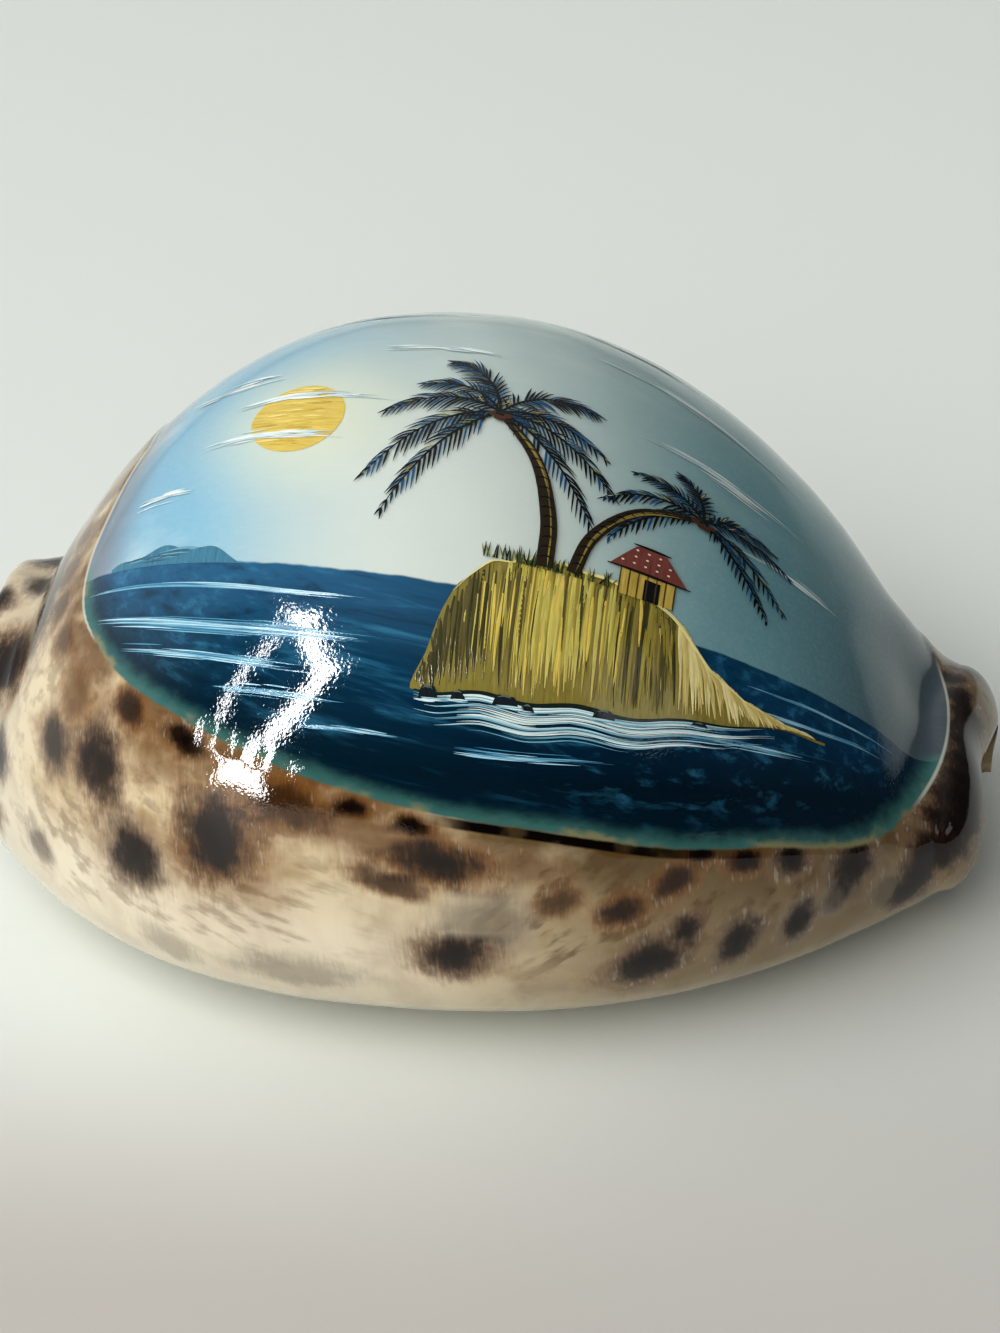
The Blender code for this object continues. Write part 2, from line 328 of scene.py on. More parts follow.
def spotFields(points, face):
    # depth is 1 in the middle of a spot, 0 at its edge and negative outside
    flat = points.reshape(-1, 3)
    depth = np.full(len(flat), -1.5)
    total, dark, warm = np.full(len(flat), 1e-9), np.zeros(len(flat)), np.zeros(len(flat))
    nearSide = (face & (points[..., 1] < 2)).reshape(-1)
    taken = []

    def add(centre, sizes, slant, darkness, warmth):
        tilt = math.radians(slant)
        along = np.array([math.cos(tilt), 0, math.sin(tilt)])
        away = flat - centre
        close = np.abs(away).max(axis=1) < 3.2 * max(sizes)
        away = away[close]
        run = away @ along
        rest = np.sqrt(np.maximum((away ** 2).sum(axis=1) - run ** 2, 0))
        reach = 1 - np.sqrt((run / sizes[0]) ** 2 + (rest / sizes[1]) ** 2)
        index = np.nonzero(close)[0]
        weight = np.exp(7 * reach)      # the nearest spot counts most, without a hard border between spots
        depth[index] = np.maximum(depth[index], reach)
        total[index] += weight
        dark[index] += weight * darkness
        warm[index] += weight * warmth
        taken.append((*centre, max(sizes)))

    for x, z, half, tall, slant, darkness, warmth in nearSpots:
        off = (flat[:, 0] - x) ** 2 + (flat[:, 2] - z) ** 2 + 1e6 * ~nearSide
        add(flat[off.argmin()], (half, tall), slant, darkness, warmth)
    for band in bands:
        for x, y, z, radius in band["run"]:
            add(np.array([x, y, z]), (radius, radius), 0, band["dark"], band["warm"])
    rng = np.random.default_rng(otherSpots["seed"])
    inside = insideOval(points).reshape(-1)
    hidden = (flat[:, 1] > 3) | (flat[:, 0] < -37)
    free = np.nonzero(face.reshape(-1) & (inside < -0.6) & (inside > -23) & hidden)[0]
    for index in rng.permutation(free)[:otherSpots["tries"]]:
        centre = flat[index]
        radius = rng.uniform(*otherSpots["radius"]) * (0.75 + 0.25 * np.clip(centre[2] / 16, 0, 1))
        others = np.array(taken)
        apart = np.linalg.norm(others[:, :3] - centre, axis=1)
        gaps = apart - (others[:, 3] + radius) * otherSpots["spacing"]
        if gaps.min() > 0.4:
            low = np.clip(1 - centre[2] / 7, 0, 1)
            add(centre, (radius * rng.uniform(0.9, 1.5), radius), rng.uniform(-30, 30),
                rng.uniform(0.6, 1.0) * (1 - 0.6 * low), rng.uniform(0, 1))
    print("spots placed:", len(taken))
    return [field.reshape(points.shape[:2]) for field in (depth, dark / total, warm / total)]


def buildShell():
    points, outerColumns, backTurn = shellGrid()
    rows, columns = points.shape[:2]
    rimSteps, lipSteps = fineness["rimSteps"], fineness["lip"]
    face = np.zeros((rows, columns), bool)          # everything seen from outside
    face[:, :outerColumns] = True
    smoothFace = np.zeros((rows, columns), bool)    # all but the end rims and the lips
    smoothFace[rimSteps:-rimSteps, lipSteps + 2:outerColumns - lipSteps - 2] = True
    outside = face.astype(float)
    canal = 2 * rimSteps                            # the outer colour runs on a little way into each canal
    for step in range(canal):
        outside[step, outerColumns:] = outside[-1 - step, outerColumns:] = ease(1 - step / canal)
    around = 0.5 * (np.roll(points, -1, axis=1) - np.roll(points, 1, axis=1))
    normal = np.cross(np.gradient(points, axis=0), around)
    normal /= np.maximum(np.linalg.norm(normal, axis=-1, keepdims=True), 1e-9)
    inside = np.where(face, insideOval(points), -40)
    depth, dark, warm = spotFields(points, face)
    fade = (ease((form["length"] / 2 - 3.6 - np.abs(points[..., 0])) / 2)
            * ease((points[..., 2] - 1.5) / 3))
    points = points + normal * (relief(points) * np.where(smoothFace, fade, 0))[..., None]

    ids = np.arange(rows * columns).reshape(rows, columns)
    fold = (2 * (outerColumns - 1) - np.arange(columns)) % columns
    for row in (0, rows - 1):        # the wall's two faces meet at the end rims
        ids[row] = np.minimum(ids[row], ids[row][fold])
    following = np.roll(ids, -1, axis=1)
    quads = np.stack([ids[:-1], ids[1:], following[1:], following[:-1]], axis=-1).reshape(-1, 4)
    used, quads = np.unique(quads, return_inverse=True)
    shell = newMesh("cowrieShell", points.reshape(-1, 3)[used], quads.reshape(-1, 4))
    fields = {"insideOval": inside, "spotDepth": depth, "spotDark": dark, "spotWarm": warm,
              "backTurn": np.broadcast_to(backTurn, (rows, columns)), "outside": outside}
    for name, field in fields.items():
        values = field.reshape(-1)[used].astype(np.float32)
        shell.data.attributes.new(name, "FLOAT", "POINT").data.foreach_set("value", values)
    return shell


# Natural cowrie enamel is aragonite, laid down by the animal in thin clear coats. It is glassy and slightly
# deep, so spots look sunk under the gloss, with blurred and hairy edges.
enamel = {
    "cream": "#c6b491", "pale": "#e0d6c0", "tan": "#8f7145", "amber": "#5f3e1a", "brownEdge": "#584729",
    "frontTan": "#7b6a4c", "streak": "#5a4324", "baseCream": "#e4dccb", "rearGreySheen": "#c9bfa9",
    "spotBlack": "#150d0a", "spotBrown": "#372210", "spotGrey": "#38322c", "halo": "#80572a",
    "haloGrey": "#8d877c", "hairLight": "#b9ad98", "edgeLine": "#0d0705", "canal": "#d2c7b4",
    "cavity": "#a3938a",
    "mottle": 7.0, "hair": 0.3, "fineHair": 0.9, "blot": 2.2, "edgePatch": 4.5, "bandSize": 1.5,
    "lineBreak": 2.6, "ripple": 0.7, "rippleHeight": 0.009, "crackle": 0.26, "crackleHeight": 0.0075,
    "roughness": 0.05, "ior": 1.53, "subsurface": 0.06, "subsurfaceReach": 0.8,
}
# The picture's ground: acrylic, sprayed for the sky and brushed for the sea, under clear gloss varnish.
paint = {
    "sky": [(0.0, "#74a2b9"), (0.2, "#7ba9bd"), (0.42, "#9db4b2"), (0.6, "#88a7a8"), (0.8, "#648d94"),
            (1.0, "#4a5a63")],
    # the rim colour is painted shade at the oval's rear end; the end colour darkens the front end, partly
    # paint tone and partly painted shade
    "skyGlow": "#c3cac2", "skyRimShade": "#6d7079", "skyEndToneAndShade": "#474d52", "cloud": "#ccd3cd",
    "sunGlow": "#e0dab4",
    "sea": [(0.0, "#07202b"), (0.35, "#0c3145"), (0.62, "#12425c"), (0.86, "#1a5070"), (1.0, "#1d587a")],
    "seaRight": [(0.0, "#051b27"), (0.45, "#06304a"), (0.8, "#0a3d5a"), (1.0, "#0d3f58")],
    "seaLight": "#3a7d9b", "seaDark": "#05202e", "fringeTeal": "#4d7d74", "fringeOchre": "#8d8158",
    # the cut edge colour is the pale cut enamel, partly a painted highlight along the cut
    "cutEdgeAndHighlight": "#c3c6b8", "cloudSize": 14.0, "streakSize": 1.3, "brush": 0.3, "wrinkle": 0.35,
    "brushHeight": 0.002, "wrinkleHeight": 0.006, "shoreWobble": 3.0, "raggedRim": 1.1, "ochreSize": 4.0,
    "horizon": (51.5, 5.0, 0.008), "mmPerDegree": 0.58, "seaDepth": 15.0,
}
sunPlan = {"place": (-9.0, 14.5), "radius": 4.0, "glow": 12.0}


def varnishNormal(node, place, extra):
    # fine ripples of a hand-laid gloss coat, plus what the layer below adds; heights in mm
    stretched = node("Mapping", place, named={"Scale": (1, 0.6, 0.5)})
    ripple = node("TexNoise", stretched, 1 / (enamel["ripple"] * mm), 2.0, 0.5)
    crackle = node("TexNoise", place, 1 / (enamel["crackle"] * mm), 1.0, 0.5)
    fine = node("Math", crackle, enamel["crackleHeight"], extra, operation="MULTIPLY_ADD")
    height = node("Math", ripple, enamel["rippleHeight"], fine, operation="MULTIPLY_ADD")
    return node("Bump", 1.0, 1.0, named={"Height": node("Math", height, mm, **times)})


def naturalColour(node, place, x, z, inside):
    # cream with tan clouds, amber below the cut, and duller and streaked with brown towards the front
    clouds = node("TexNoise", place, 1 / (enamel["mottle"] * mm), 4.0, 0.55, named={"Distortion": 0.4})
    colour = node("Mix", node("MapRange", clouds, 0.4, 0.66, **smooth), enamel["cream"], enamel["tan"],
                  **inColour)
    hairPlace = node("Mapping", place, named={"Scale": (1, 0.4, 0.22)})
    fine = node("TexNoise", hairPlace, 1 / (enamel["fineHair"] * mm), 4.0, 0.65)
    lowLeft = node("Math", node("MapRange", z, 20.0, 13.0, **smooth),
                   node("MapRange", x, 16.0, -4.0, **smooth), **times)
    paleShare = node("Math", lowLeft, 0.6, node("Math", fine, 0.25, **times), operation="MULTIPLY_ADD")
    colour = node("Mix", paleShare, colour, enamel["pale"], **inColour)
    frontward = node("MapRange", x, 2.0, 26.0, 0.0, 0.92, **smooth)
    frontward = node("Math", frontward, node("MapRange", z, 3.0, 9.0, 0.55, 1.0, **smooth), **times)
    colour = node("Mix", frontward, colour, enamel["frontTan"], **inColour)

    patchy = node("TexNoise", place, 1 / (enamel["edgePatch"] * mm), 3.0)
    patchy = node("MapRange", patchy, 0.3, 0.56, 0.15, 1.0, **smooth)
    byEdge = node("Math", node("MapRange", inside, -6.5, -0.8, **smooth), patchy, **times)
    edgeColour = node("Mix", node("MapRange", x, 2.0, 14.0, **smooth), enamel["amber"],
                      enamel["brownEdge"], **inColour)
    colour = node("Mix", node("Math", byEdge, 0.85, **times), colour, edgeColour, **inColour)

    # bands of brown that slant either side of x = 4
    for rise, low, high, strength in ((-0.5, 4.0, 15.0, 0.8), (0.3, 4.0, -6.0, 0.45)):
        slanted = node("Mapping", place, vector_type="TEXTURE",
                       named={"Rotation": (0, rise, 0), "Scale": (3.6, 1, 1)})
        streaks = node("TexNoise", slanted, 1 / (enamel["bandSize"] * mm), 3.0, 0.55)
        streaks = node("MapRange", streaks, 0.48, 0.66, 0.0, strength, **smooth)
        share = node("Math", streaks, node("MapRange", x, low, high, **smooth), **times)
        share = node("Math", share, node("MapRange", z, 8.0, 14.0, **smooth), **times)
        colour = node("Mix", share, colour, enamel["streak"], **inColour)
    # greyer pale towards the rear end, partly a painted sheen on the end wall
    rearSheen = node("MapRange", x, -27.0, -36.0, 0.0, 0.6, **smooth)
    colour = node("Mix", rearSheen, colour, enamel["rearGreySheen"], **inColour)
    return node("Mix", node("MapRange", z, 7.0, 1.5, 0.0, 0.75, **smooth), colour, enamel["baseCream"],
                **inColour)


def spottedColour(node, ground, place, x, inside):
    # each spot: an amber or grey halo, a blurred ring, a dark core, and fine pale hairs across its edge
    depth, dark, warm = (node("Attribute", out=2, attribute_name=name)
                         for name in ("spotDepth", "spotDark", "spotWarm"))
    hairPlace = node("Mapping", place, named={"Scale": (1, 0.4, 0.2)})
    hair = node("TexNoise", hairPlace, 1 / (enamel["hair"] * mm), 2.0, 0.5)
    blot = node("TexNoise", place, 1 / (enamel["blot"] * mm), 3.0)
    wander = node("Math", node("Math", blot, 1.2, -0.6, operation="MULTIPLY_ADD"),
                  node("Math", hair, 0.7, -0.35, operation="MULTIPLY_ADD"), **plus)
    field = node("Math", depth, wander, **plus)
    colour = ground
    for edge, middle, pale, full, most, cool, brown in (
            (-0.9, 0.2, 0.0, 0.9, 0.85, "haloGrey", "halo"),
            (-0.45, 0.5, 0.2, 0.85, 1.0, "spotGrey", "spotBrown"),
            (0.0, 0.85, 0.5, 0.9, 1.0, "spotBlack", "spotBlack")):
        share = node("Math", node("MapRange", field, edge, middle, **smooth),
                     node("MapRange", dark, pale, full, 0.0, most, **smooth), **times)
        tone = node("Mix", warm, enamel[cool], enamel[brown], **inColour)
        colour = node("Mix", share, colour, tone, **inColour)
    atEdge = node("Math", node("MapRange", field, -0.6, -0.1, **smooth),
                  node("MapRange", field, 0.55, 0.05, **smooth), **times)
    hairShare = node("Math", atEdge, node("MapRange", hair, 0.56, 0.72, 0.0, 0.4, **smooth), **times)
    hairShare = node("Math", hairShare, dark, **times)
    colour = node("Mix", hairShare, colour, enamel["hairLight"], **inColour)

    # a broken black line is painted just outside the oval's edge, between x 3 and 33
    lineLength = node("Math", node("MapRange", x, 3.0, 8.5, **smooth),
                      node("MapRange", x, 33.0, 19.0, **smooth), **times)
    broken = node("TexNoise", place, 1 / (enamel["lineBreak"] * mm), 2.0)
    broken = node("MapRange", broken, 0.3, 0.5, 0.6, 1.0, **smooth)
    offLine = node("Math", node("Math", inside, 0.36, **plus), operation="ABSOLUTE")
    lineShare = node("Math", node("MapRange", offLine, 0.46, 0.24, **smooth),
                     node("Math", lineLength, broken, **times), **times)
    return node("Mix", lineShare, colour, enamel["edgeLine"], **inColour)


def pictureColour(node, place, x, inside):
    turn = node("Attribute", out=2, attribute_name="backTurn")
    level, middle, bend = paint["horizon"]
    sag = node("Math", node("Math", x, middle, **minus), 2.0, operation="POWER")
    above = node("Math", node("Math", turn, level, **minus), node("Math", sag, bend, **times), **minus)
    height = node("Math", above, paint["mmPerDegree"], **times)       # mm above the horizon

    # sprayed sky: bluer at the left, a pale glow in the middle, dull blue-green at the right; the grey at
    # the
    #     # oval's rear end is painted shade, and the dark at its front end is the paint's tone with painted
    #     shade
    sky = node("ValToRGB", node("MapRange", x, -27.0, 41.0), stops=paint["sky"])
    glow = node("Math", node("MapRange", x, -18.0, 3.0, **smooth),
                node("MapRange", x, 25.0, 8.0, **smooth), **times)
    glow = node("Math", glow, node("MapRange", height, 34.0, 6.0, 0.25, 0.95, **smooth), **times)
    sky = node("Mix", glow, sky, paint["skyGlow"], **inColour)
    cloudPlace = node("Mapping", place, vector_type="TEXTURE",
                      named={"Rotation": (0, 0.2, 0), "Scale": (2.6, 1, 1)})
    cloud = node("TexNoise", cloudPlace, 1 / (paint["cloudSize"] * mm), 4.0, 0.5,
                 named={"Distortion": 0.4})
    cloudShare = node("Math", node("MapRange", cloud, 0.5, 0.72, **smooth),
                      node("MapRange", x, 36.0, 4.0, 0.0, 0.55, **smooth), **times)
    sky = node("Mix", cloudShare, sky, paint["cloud"], **inColour)
    brush = node("TexNoise", node("Mapping", place, named={"Scale": (0.12, 1, 1)}),
                 1 / (paint["brush"] * mm), 3.0, 0.6)
    fromSun = node("CombineXYZ", node("Math", x, sunPlan["place"][0], **minus),
                   node("Math", height, sunPlan["place"][1], **minus), 0.0)
    fromSun = node("VectorMath", fromSun, operation="LENGTH")
    # the last two are painted shade: grey at the oval's rear end, and at the front end a darker tone that
    # is partly painted shade
    for value, start, end, most, tone in (
            (brush, 0.35, 0.8, 0.08, "cloud"), (fromSun, sunPlan["glow"], 1.0, 0.5, "sunGlow"),
            (x, -20.5, -25.5, 0.8, "skyRimShade"), (x, 31.0, 40.0, 0.7, "skyEndToneAndShade")):
        share = node("MapRange", value, start, end, 0.0, most, **smooth)
        sky = node("Mix", share, sky, paint[tone], **inColour)

    # brushed sea: brightest under the horizon, with long streaks of lighter and darker blue
    depth = node("MapRange", height, -paint["seaDepth"], 0.0)
    sea = node("Mix", node("MapRange", x, -8.0, 18.0, **smooth),
               node("ValToRGB", depth, stops=paint["sea"]),
               node("ValToRGB", depth, stops=paint["seaRight"]), **inColour)
    swell = node("Mapping", place, vector_type="TEXTURE",
                 named={"Rotation": (0, 0.22, 0), "Scale": (14, 1, 0.8)})
    streak = node("TexNoise", swell, 1 / (paint["streakSize"] * mm), 5.0, 0.62, named={"Distortion": 0.3})
    for value, start, end, most, tone in (
            (streak, 0.5, 0.74, 0.55, "seaLight"), (streak, 0.5, 0.28, 0.6, "seaDark"),
            (inside, 4.2, 1.2, 0.75, "seaDark")):
        share = node("MapRange", value, start, end, 0.0, most, **smooth)
        sea = node("Mix", share, sea, paint[tone], **inColour)
    wobble = node("Math", node("TexNoise", place, 1 / (paint["shoreWobble"] * mm)), 0.5, -0.25,
                  operation="MULTIPLY_ADD")
    shore = node("MapRange", node("Math", height, wobble, **plus), -0.12, 0.12, **smooth)
    return node("Mix", shore, sea, sky, **inColour), node("MapRange", height, 3.0, 0.0, **smooth), brush


def enamelMaterial():
    material, node = emptyMaterial("polishedEnamelUnderVarnish")
    place = node("TexCoord", out=3)
    x, z = (node("Math", node("SeparateXYZ", place, out=axis), mm, operation="DIVIDE") for axis in (0, 2))
    inside = node("Attribute", out=2, attribute_name="insideOval")
    ground = spottedColour(node, naturalColour(node, place, x, z, inside), place, x, inside)
    picture, low, brush = pictureColour(node, place, x, inside)

    # the paint's worn rim: teal and ochre along the sea, and at both ends the pale line of cut enamel,
    #     # partly a painted highlight along the cut edge
    ragged = node("TexNoise", node("Mapping", place, named={"Scale": (0.5, 1, 1)}),
                  1 / (paint["raggedRim"] * mm), 4.0, 0.6)
    fromRim = node("Math", inside, node("Math", ragged, 1.0, -0.5, operation="MULTIPLY_ADD"), **plus)
    teal = node("MapRange", fromRim, 1.6, 0.1, 0.0, 0.62, **smooth)
    picture = node("Mix", node("Math", teal, low, **times), picture, paint["fringeTeal"], **inColour)
    ochre = node("TexNoise", place, 1 / (paint["ochreSize"] * mm), 3.0)
    ochre = node("MapRange", ochre, 0.44, 0.62, 0.0, 0.75, **smooth)
    ochre = node("Math", ochre, node("MapRange", fromRim, 0.7, 0.1, **smooth), **times)
    picture = node("Mix", node("Math", ochre, low, **times), picture, paint["fringeOchre"], **inColour)
    frayed = node("Math", inside, node("Math", ragged, 0.4, -0.2, operation="MULTIPLY_ADD"), **plus)
    painted = node("MapRange", frayed, -0.12, 0.15, **smooth)
    atEnds = node("Math", node("MapRange", x, -23.5, -24.8, **smooth),
                  node("MapRange", x, 38.5, 39.6, **smooth), **plus)
    # the pale line at the cut: bare enamel, partly a painted highlight
    cutLineAndHighlight = node("MapRange", node("Math", inside, operation="ABSOLUTE"), 0.16, 0.03, 0.0, 0.6, **smooth)
    colour = node("Mix", painted, ground, picture, **inColour)
    colour = node("Mix", node("Math", cutLineAndHighlight, atEnds, **times), colour, paint["cutEdgeAndHighlight"], **inColour)
    outside = node("Attribute", out=2, attribute_name="outside")
    hollow = node("Mix", node("MapRange", z, 5.0, 11.0, **smooth), enamel["canal"], enamel["cavity"],
                  **inColour)
    colour = node("Mix", outside, hollow, colour, **inColour)

    # brush ridges and wrinkles over the paint only; the varnish's ripple and crackle are everywhere
    wrinkle = node("TexNoise", place, 1 / (paint["wrinkle"] * mm), 2.0, 0.5, named={"Distortion": 0.5})
    marks = node("Math", brush, paint["brushHeight"], **times)
    ridges = node("Math", wrinkle, paint["wrinkleHeight"], marks, operation="MULTIPLY_ADD")
    normal = varnishNormal(node, place, node("Math", ridges, painted, **times))
    surface = node("BsdfPrincipled", named={
        "Base Color": colour, "Roughness": enamel["roughness"], "IOR": enamel["ior"], "Normal": normal,
        "Subsurface Weight": enamel["subsurface"], "Subsurface Radius": (1.0, 0.6, 0.35),
        "Subsurface Scale": enamel["subsurfaceReach"] * mm})
    node("OutputMaterial", surface)
    return material


shell = buildShell()
shell.data.materials.append(enamelMaterial())
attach(shell, "root")
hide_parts("cowrie_shell")

# The picture is a generic beach scene: a headland with two palms and a hut, a low sun, hills far off.
# Each stroke is a thin ridge of acrylic on the ground back. Places are (u, h): along the shell, above
# the horizon.
brushwork = {"layer": 0.022, "swell": 0.018, "alongStep": 0.45, "seed": 23}
brushRng = np.random.default_rng(brushwork["seed"])


def onPicture(places, lift):
    u, h = places[..., 0], places[..., 1]
    level, middle, bend = paint["horizon"]
    return drape(u, level + bend * (u - middle) ** 2 + h / paint["mmPerDegree"], lift)


def newPaint():
    return {"points": [], "quads": [], "colours": [], "bristles": [], "count": 0}


def layPaint(into, places, colour, layer, swell, bristles):
    # places: rows x columns x 2, the rows running along the brush
    rows, columns = places.shape[:2]
    across = np.linspace(-1, 1, columns)
    lift = layer * brushwork["layer"] + swell * (1 - np.abs(across) ** 3) + np.zeros((rows, 1))
    into["points"].append(onPicture(places, lift).reshape(-1, 3))
    ids = into["count"] + np.arange(rows * columns).reshape(rows, columns)
    quads = np.stack([ids[:-1, :-1], ids[:-1, 1:], ids[1:, 1:], ids[1:, :-1]], axis=-1)
    into["quads"].append(quads.reshape(-1, 4))
    into["colours"].append(np.broadcast_to(linear(colour), (rows * columns, 4)))
    into["bristles"].append(np.asarray(bristles).reshape(-1, 3))
    into["count"] += rows * columns


def smoothPath(corners, step):
    # a Catmull-Rom curve through the corners
    p = np.array([np.array(corner, float) for corner in corners])
    p = np.vstack([2 * p[0] - p[1], p, 2 * p[-1] - p[-2]])
    out = []
    for i in range(1, len(p) - 2):
        count = max(2, int(np.ceil(np.linalg.norm(p[i + 1] - p[i]) / step)))
        t = np.linspace(0, 1, count, endpoint=False)[:, None]
        out.append(0.5 * (2 * p[i] + (p[i + 1] - p[i - 1]) * t
                          + (2 * p[i - 1] - 5 * p[i] + 4 * p[i + 1] - p[i + 2]) * t ** 2
                          + (3 * p[i] - p[i - 1] - 3 * p[i + 1] + p[i + 2]) * t ** 3))
    return np.vstack(out + [p[-2:-1]])


def stroke(into, corners, width, colour, layer, ends=(0.1, 0.1), fullAt=0.4, step=None):
    # one touch of the brush, widest at fullAt of its length
    path = smoothPath(corners, step or brushwork["alongStep"])
    way = np.gradient(path, axis=0)
    way /= np.maximum(np.linalg.norm(way, axis=1, keepdims=True), 1e-9)
    side = np.stack([-way[:, 1], way[:, 0]], axis=-1)
    t = np.linspace(0, 1, len(path))
    swelling = np.where(t < fullAt, ends[0] + (1 - ends[0]) * np.sin(np.pi / 2 * t / fullAt),
                        ends[1] + (1 - ends[1]) * np.cos(np.pi / 2 * (t - fullAt) / (1 - fullAt)))
    half = (0.5 * width * swelling)[:, None]
    across = np.linspace(-1, 1, 5)[None, :]
    places = path[:, None] + side[:, None] * (half * across)[..., None]
    run = np.concatenate([[0], np.cumsum(np.linalg.norm(np.diff(path, axis=0), axis=1))])[:, None]
    bristles = np.stack([run + 0 * across, half * across + brushRng.uniform(0, 50), 0 * half * across],
                        axis=-1)
    layPaint(into, places, colour, layer, brushwork["swell"] * min(1, width / 0.5), bristles)


def patch(into, u, low, high, colour, layer, rows=8, upright=True):
    # a filled shape between two edges given over u, brushed up and down or level
    u, low, high = (np.asarray(values, float) for values in (u, low, high))
    t = np.linspace(0, 1, rows)[:, None]
    h = low + (np.maximum(high, low + 0.02) - low) * t
    u = u + 0 * t
    offset = brushRng.uniform(0, 50)
    bristles = np.stack([h, u + offset, 0 * h] if upright else [u, h + offset, 0 * h], axis=-1)
    layPaint(into, np.swapaxes(np.stack([u, h], axis=-1), 0, 1), colour, layer, 0,
             np.swapaxes(bristles, 0, 1))


def dryBrush(into, corners, spread, count, width, colours, layer):
    # fine hairlines side by side, starting and stopping unevenly, as a nearly dry brush leaves them
    path = smoothPath(corners, 0.9)
    for _ in range(count):
        first = int(brushRng.uniform(0, 0.55) * (len(path) - 1))
        last = int(first + brushRng.uniform(0.2, 0.5) * (len(path) - 1))
        part = path[first:max(last, first + 4)] + [0, brushRng.normal(0, spread / 2)]
        if len(part) > 2:
            stroke(into, part, width * brushRng.uniform(0.5, 1.4),
                   colours[brushRng.integers(len(colours))], layer, (0.1, 0.1), 0.5, step=0.9)


def finishPaint(name, into):
    piece = newMesh(name, np.vstack(into["points"]), np.vstack(into["quads"]))
    mesh = piece.data
    mesh.attributes.new("paintColour", "FLOAT_COLOR", "POINT").data.foreach_set(
        "color", np.vstack(into["colours"]).astype(np.float32).ravel())
    mesh.attributes.new("bristle", "FLOAT_VECTOR", "POINT").data.foreach_set(
        "vector", np.vstack(into["bristles"]).astype(np.float32).ravel())
    mesh.materials.append(acrylic)
    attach(piece, "root")


# Acrylic put on with a small bristle brush, then varnished: dull paint made glassy, with streaks along each
# stroke. The bristle marks are about 0.25 mm apart.
acrylicPaint = {"bristle": 0.25, "bristleHeight": 0.005, "wrinkleHeight": 0.004, "roughness": 0.1,
                "ior": 1.49, "light": 1.4, "dark": 0.6}


def acrylicMaterial():
    material, node = emptyMaterial("brushedAcrylicUnderVarnish")
    base = node("Attribute", attribute_name="paintColour")
    along = node("Mapping", node("Attribute", out=1, attribute_name="bristle"),
                 named={"Scale": (0.09, 1, 1)})
    bristle = node("TexNoise", along, 1 / acrylicPaint["bristle"], 4.0, 0.6)
    lighter = node("HueSaturation", 0.5, 0.95, acrylicPaint["light"], 1.0, base)
    darker = node("HueSaturation", 0.5, 1.05, acrylicPaint["dark"], 1.0, base)
    colour = node("Mix", node("MapRange", bristle, 0.5, 0.75, 0.0, 0.7, **smooth), base, lighter,
                  **inColour)
    colour = node("Mix", node("MapRange", bristle, 0.5, 0.25, 0.0, 0.8, **smooth), colour, darker,
                  **inColour)
    place = node("TexCoord", out=3)
    wrinkle = node("TexNoise", place, 1 / (paint["wrinkle"] * mm), 2.0, 0.5, named={"Distortion": 0.5})
    marks = node("Math", bristle, acrylicPaint["bristleHeight"], **times)
    ridges = node("Math", wrinkle, acrylicPaint["wrinkleHeight"], marks, operation="MULTIPLY_ADD")
    surface = node("BsdfPrincipled", named={
        "Base Color": colour, "Roughness": acrylicPaint["roughness"], "IOR": acrylicPaint["ior"],
        "Normal": varnishNormal(node, place, ridges)})
    node("OutputMaterial", surface)
    return material


acrylic = acrylicMaterial()

# Low hills far off at the left. Each rises between two places on the horizon.
hills = {"from": -23.5, "to": -10.5, "rise": 1.5, "colour": "#3f7288", "lights": ["#6797a6", "#335f74"]}


def buildHills():
    into = newPaint()
    u = np.linspace(hills["from"], hills["to"], 30)
    t = (u - hills["from"]) / (hills["to"] - hills["from"])
    patch(into, u, 0 * u - 0.15, hills["rise"] * np.sin(np.pi * t) ** 0.8 + 0.3 * np.sin(u * 1.3),
          hills["colour"], 1, 5)
    for start, length, h in ((1.5, 7, 0.45), (4.0, 6.5, 0.9)):
        a = hills["from"] + start
        dryBrush(into, [(a, h), (a + length / 2, h + 0.3), (a + length, h)], 0.35, 9, 0.13,
                 hills["lights"], 2)
    finishPaint("pictureHills", into)


# A low sun, and thin flat clouds over the whole sky: from u, to u, height, bend, hairlines.
skyPaint = {
    "sun": "#c9b056", "sunTones": ["#dbc777", "#bd9f45", "#d2bb62"],
    "cloudTones": ["#c6d3d3", "#d8dfda", "#b6c8ca"],
    "clouds": [(-17, -2, 12.0, 0.5, 26), (-15, 1, 16.6, 0.6, 22), (-21, -9, 20.5, -0.4, 16),
               (-4, 9, 24.0, 0.5, 16), (-23, -15, 7.0, 0.2, 12), (16, 31, 20.5, 0.6, 18),
               (25, 35, 13.5, 0.4, 12), (-16, 4, 33.0, 0.7, 26), (6, 24, 38.0, -0.6, 28),
               (-12, 9, 44.0, 0.5, 26), (12, 30, 30.0, 0.5, 20), (-6, 16, 50.0, 0.4, 22)],
}


def buildSky():
    into = newPaint()
    (u0, h0), radius = sunPlan["place"], sunPlan["radius"]
    u = radius * -np.cos(np.linspace(0, np.pi, 40))
    edge = np.sqrt(np.maximum(radius ** 2 - u ** 2, 0))
    patch(into, u + u0, h0 - edge, h0 + edge, skyPaint["sun"], 1, 20, upright=False)
    for h in np.linspace(-0.8, 0.8, 9) * radius:
        half = 0.94 * math.sqrt(radius ** 2 - h ** 2)
        dryBrush(into, [(u0 - half, h0 + h), (u0, h0 + h + 0.1), (u0 + half, h0 + h)], 0.3, 6, 0.22,
                 skyPaint["sunTones"], 2)
    for a, b, h, bend, count in skyPaint["clouds"]:
        dryBrush(into, [(a, h), (0.6 * a + 0.4 * b, h + bend), (b, h + 0.2 * bend)], 0.55, count, 0.16,
                 skyPaint["cloudTones"], 3)
        dryBrush(into, [(0.7 * a + 0.3 * b, h + 0.4), (0.2 * a + 0.8 * b, h + 0.5 * bend + 0.3)], 0.3,
                 count // 3, 0.2, skyPaint["cloudTones"], 4)
    finishPaint("pictureSky", into)


